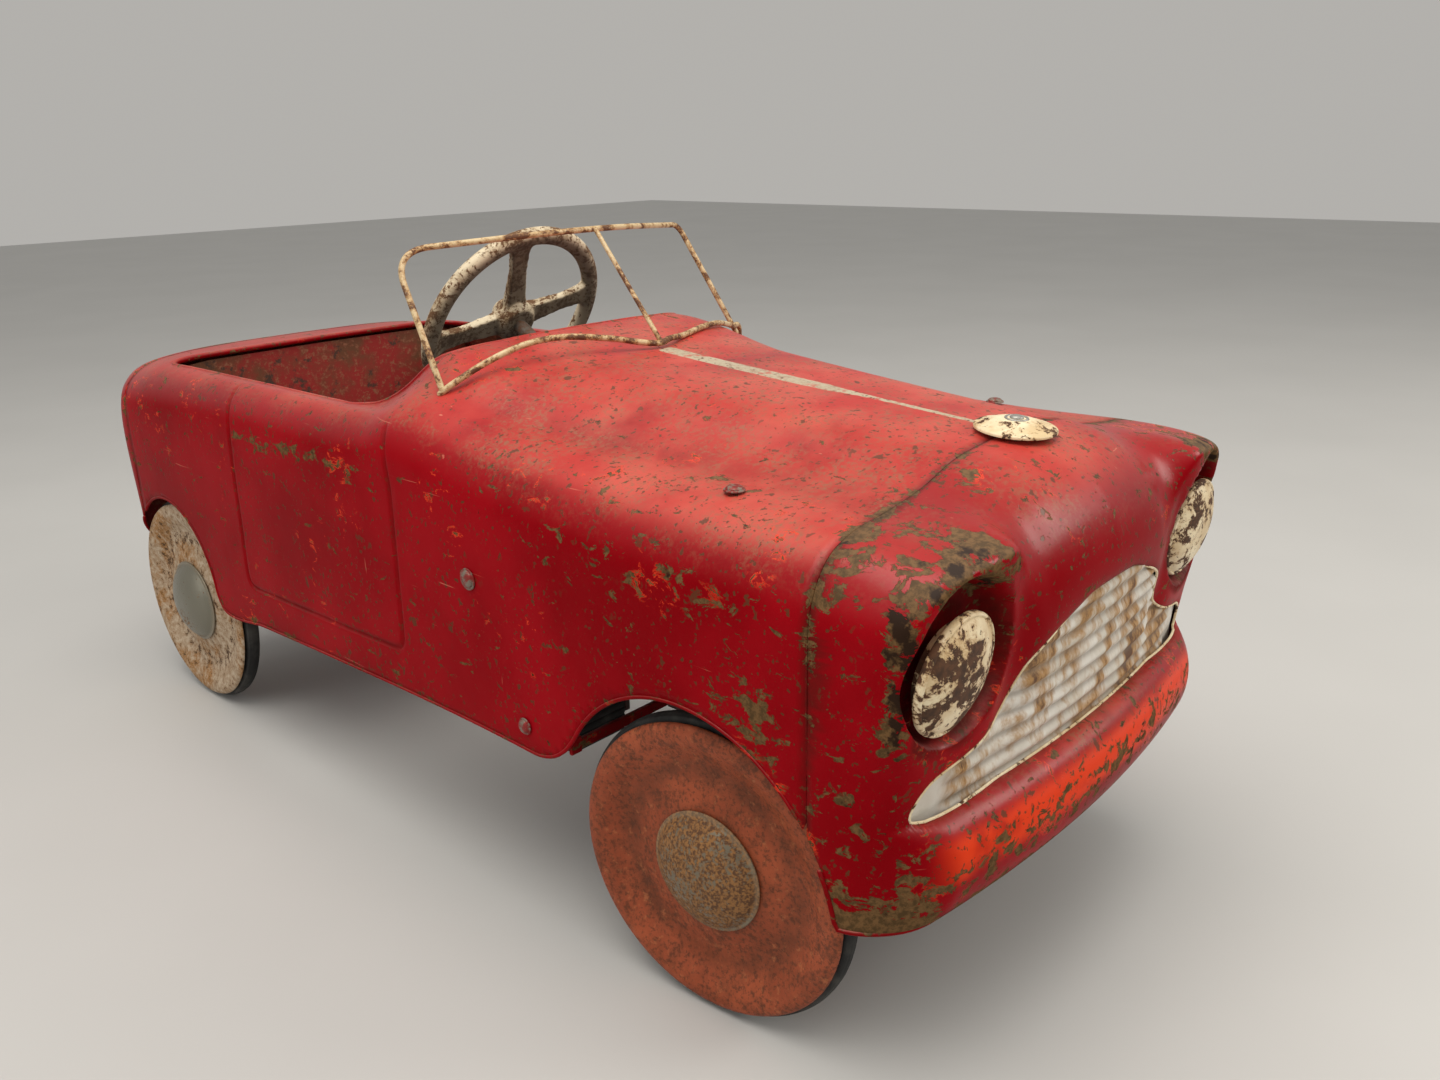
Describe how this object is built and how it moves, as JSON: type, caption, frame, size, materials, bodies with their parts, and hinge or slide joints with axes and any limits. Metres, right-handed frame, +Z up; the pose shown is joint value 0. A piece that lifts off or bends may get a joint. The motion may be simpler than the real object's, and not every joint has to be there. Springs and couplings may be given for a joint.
{
  "type": "pedal car",
  "caption": "Child's pressed-steel pedal car with open cockpit, wire windscreen frame, steered front wheels, pedals, connecting rods and a cranked rear axle.",
  "frame": {"origin": "on the ground, under the middle of the car's length and width", "axes": "the car faces -Y, +Z is up, X = 0 is its centre plane and +X is its left side"},
  "size_m": [0.3976, 0.961, 0.456],
  "materials": {
    "red_paint": "faded gloss, chipped and rusted",
    "chassis_paint": "matt, dusty",
    "cream_paint": "chalky, rust spotted",
    "silver_paint": "dull, rust streaked",
    "oxide_red": "matt",
    "rusty_cream": "matt, rusted",
    "plating": "pitted",
    "bare_steel": "dull",
    "tyre": "matt",
    "rubber": "matt"
  },
  "bodies": {
    "body": {"body_shell": "red_paint", "nose_panel": "red_paint", "tail_panel": "red_paint", "grille": "silver_paint", "seat_pan": "red_paint", "rear_bulkhead": "red_paint", "dash_panel": "red_paint", "steering_column_bush": "bare_steel", "headlamp_left": "cream_paint", "headlamp_right": "cream_paint", "bonnet_badge": "cream_paint", "wing_bolt_left": "red_paint", "wing_bolt_right": "red_paint", "sill_bolt_left": "red_paint", "sill_bolt_right": "red_paint", "windscreen_hoop": "cream_paint", "windscreen_base_rail": "cream_paint", "windscreen_centre_post": "cream_paint", "chassis_rail_left": "chassis_paint", "chassis_rail_right": "chassis_paint", "front_axle_beam": "chassis_paint", "steering_crossmember": "chassis_paint", "front_crossmember": "chassis_paint", "middle_crossmember": "chassis_paint", "rear_crossmember": "chassis_paint", "rear_axle_hanger_left": "chassis_paint", "rear_axle_hanger_right": "chassis_paint", "pedal_pivot_rod": "bare_steel", "pivot_rod_head_left": "red_paint", "pivot_rod_head_right": "red_paint"},
    "steering": {"steering_column": "bare_steel", "steering_wheel": "cream_paint"},
    "track_rod": {"track_rod": "chassis_paint"},
    "knuckle_left": {"knuckle_left": "chassis_paint", "kingpin_left": "bare_steel"},
    "knuckle_right": {"knuckle_right": "chassis_paint", "kingpin_right": "bare_steel"},
    "front_wheel_left": {"front_wheel_left_disc": "oxide_red", "front_wheel_left_back_plate": "oxide_red", "front_wheel_left_tyre": "tyre", "front_wheel_left_hubcap": "plating"},
    "front_wheel_right": {"front_wheel_right_disc": "oxide_red", "front_wheel_right_back_plate": "oxide_red", "front_wheel_right_tyre": "tyre", "front_wheel_right_hubcap": "plating"},
    "rear_axle": {"rear_axle": "bare_steel", "rear_wheel_left_disc": "rusty_cream", "rear_wheel_left_back_plate": "rusty_cream", "rear_wheel_left_tyre": "tyre", "rear_wheel_left_hubcap": "plating"},
    "rear_wheel_right": {"rear_wheel_right_disc": "rusty_cream", "rear_wheel_right_back_plate": "rusty_cream", "rear_wheel_right_tyre": "tyre", "rear_wheel_right_hubcap": "plating"},
    "connecting_rod_left": {"connecting_rod_left": "bare_steel"},
    "connecting_rod_right": {"connecting_rod_right": "bare_steel"},
    "pedal_left": {"pedal_lever_left": "chassis_paint", "pedal_pad_left": "rubber"},
    "pedal_right": {"pedal_lever_right": "chassis_paint", "pedal_pad_right": "rubber"}
  },
  "joints": [
    {"name": "steering", "type": "hinge", "parent": "body", "child": "steering", "pos_m": [0, 0.0689, 0.377], "axis": [0, 0.866, 0.5], "range_deg": [-18, 9.4]},
    {"name": "track_rod_slide", "type": "slide", "parent": "body", "child": "track_rod", "axis": [-1, 0, 0], "range_m": [-0.0225, 0.012]},
    {"name": "knuckle_left_steer", "type": "hinge", "parent": "body", "child": "knuckle_left", "pos_m": [0.15, -0.3146, 0.1], "axis": [0, 0, 1], "range_deg": [-21.2, 11.2]},
    {"name": "knuckle_right_steer", "type": "hinge", "parent": "body", "child": "knuckle_right", "pos_m": [-0.15, -0.3146, 0.1], "axis": [0, 0, 1], "range_deg": [-21.2, 11.2]},
    {"name": "front_wheel_left_spin", "type": "hinge", "parent": "knuckle_left", "child": "front_wheel_left", "pos_m": [0.15, -0.3146, 0.1], "axis": [0.9962, 0.0872, 0], "continuous": true},
    {"name": "front_wheel_right_spin", "type": "hinge", "parent": "knuckle_right", "child": "front_wheel_right", "pos_m": [-0.15, -0.3146, 0.1], "axis": [0.9962, 0.0872, 0], "continuous": true},
    {"name": "rear_axle_spin", "type": "hinge", "parent": "body", "child": "rear_axle", "pos_m": [0, 0.3654, 0.1], "axis": [1, 0, 0], "continuous": true},
    {"name": "rear_wheel_right_spin", "type": "hinge", "parent": "rear_axle", "child": "rear_wheel_right", "pos_m": [-0.176, 0.3654, 0.1], "axis": [1, 0, 0], "continuous": true},
    {"name": "connecting_rod_left_swing", "type": "hinge", "parent": "rear_axle", "child": "connecting_rod_left", "pos_m": [0.058, 0.3654, 0.065], "axis": [1, 0, 0], "continuous": true},
    {"name": "connecting_rod_right_swing", "type": "hinge", "parent": "rear_axle", "child": "connecting_rod_right", "pos_m": [-0.058, 0.3654, 0.135], "axis": [1, 0, 0], "continuous": true},
    {"name": "pedal_left_swing", "type": "hinge", "parent": "body", "child": "pedal_left", "pos_m": [0.0645, -0.1146, 0.243], "axis": [1, 0, 0], "range_deg": [-18, 18]},
    {"name": "pedal_right_swing", "type": "hinge", "parent": "body", "child": "pedal_right", "pos_m": [-0.0645, -0.1146, 0.243], "axis": [1, 0, 0], "range_deg": [-18, 18]}
  ],
  "couplings": [
    {"joint": "knuckle_left_steer", "follows": "steering", "ratio": 1.1667},
    {"joint": "knuckle_right_steer", "follows": "steering", "ratio": 1.1667},
    {"joint": "track_rod_slide", "follows": "steering", "m_per_rad": 0.07},
    {"joint": "connecting_rod_left_swing", "follows": "rear_axle_spin", "ratio": -1},
    {"joint": "connecting_rod_right_swing", "follows": "rear_axle_spin", "ratio": -1},
    {"joint": "pedal_right_swing", "follows": "pedal_left_swing", "ratio": -1}
  ]
}
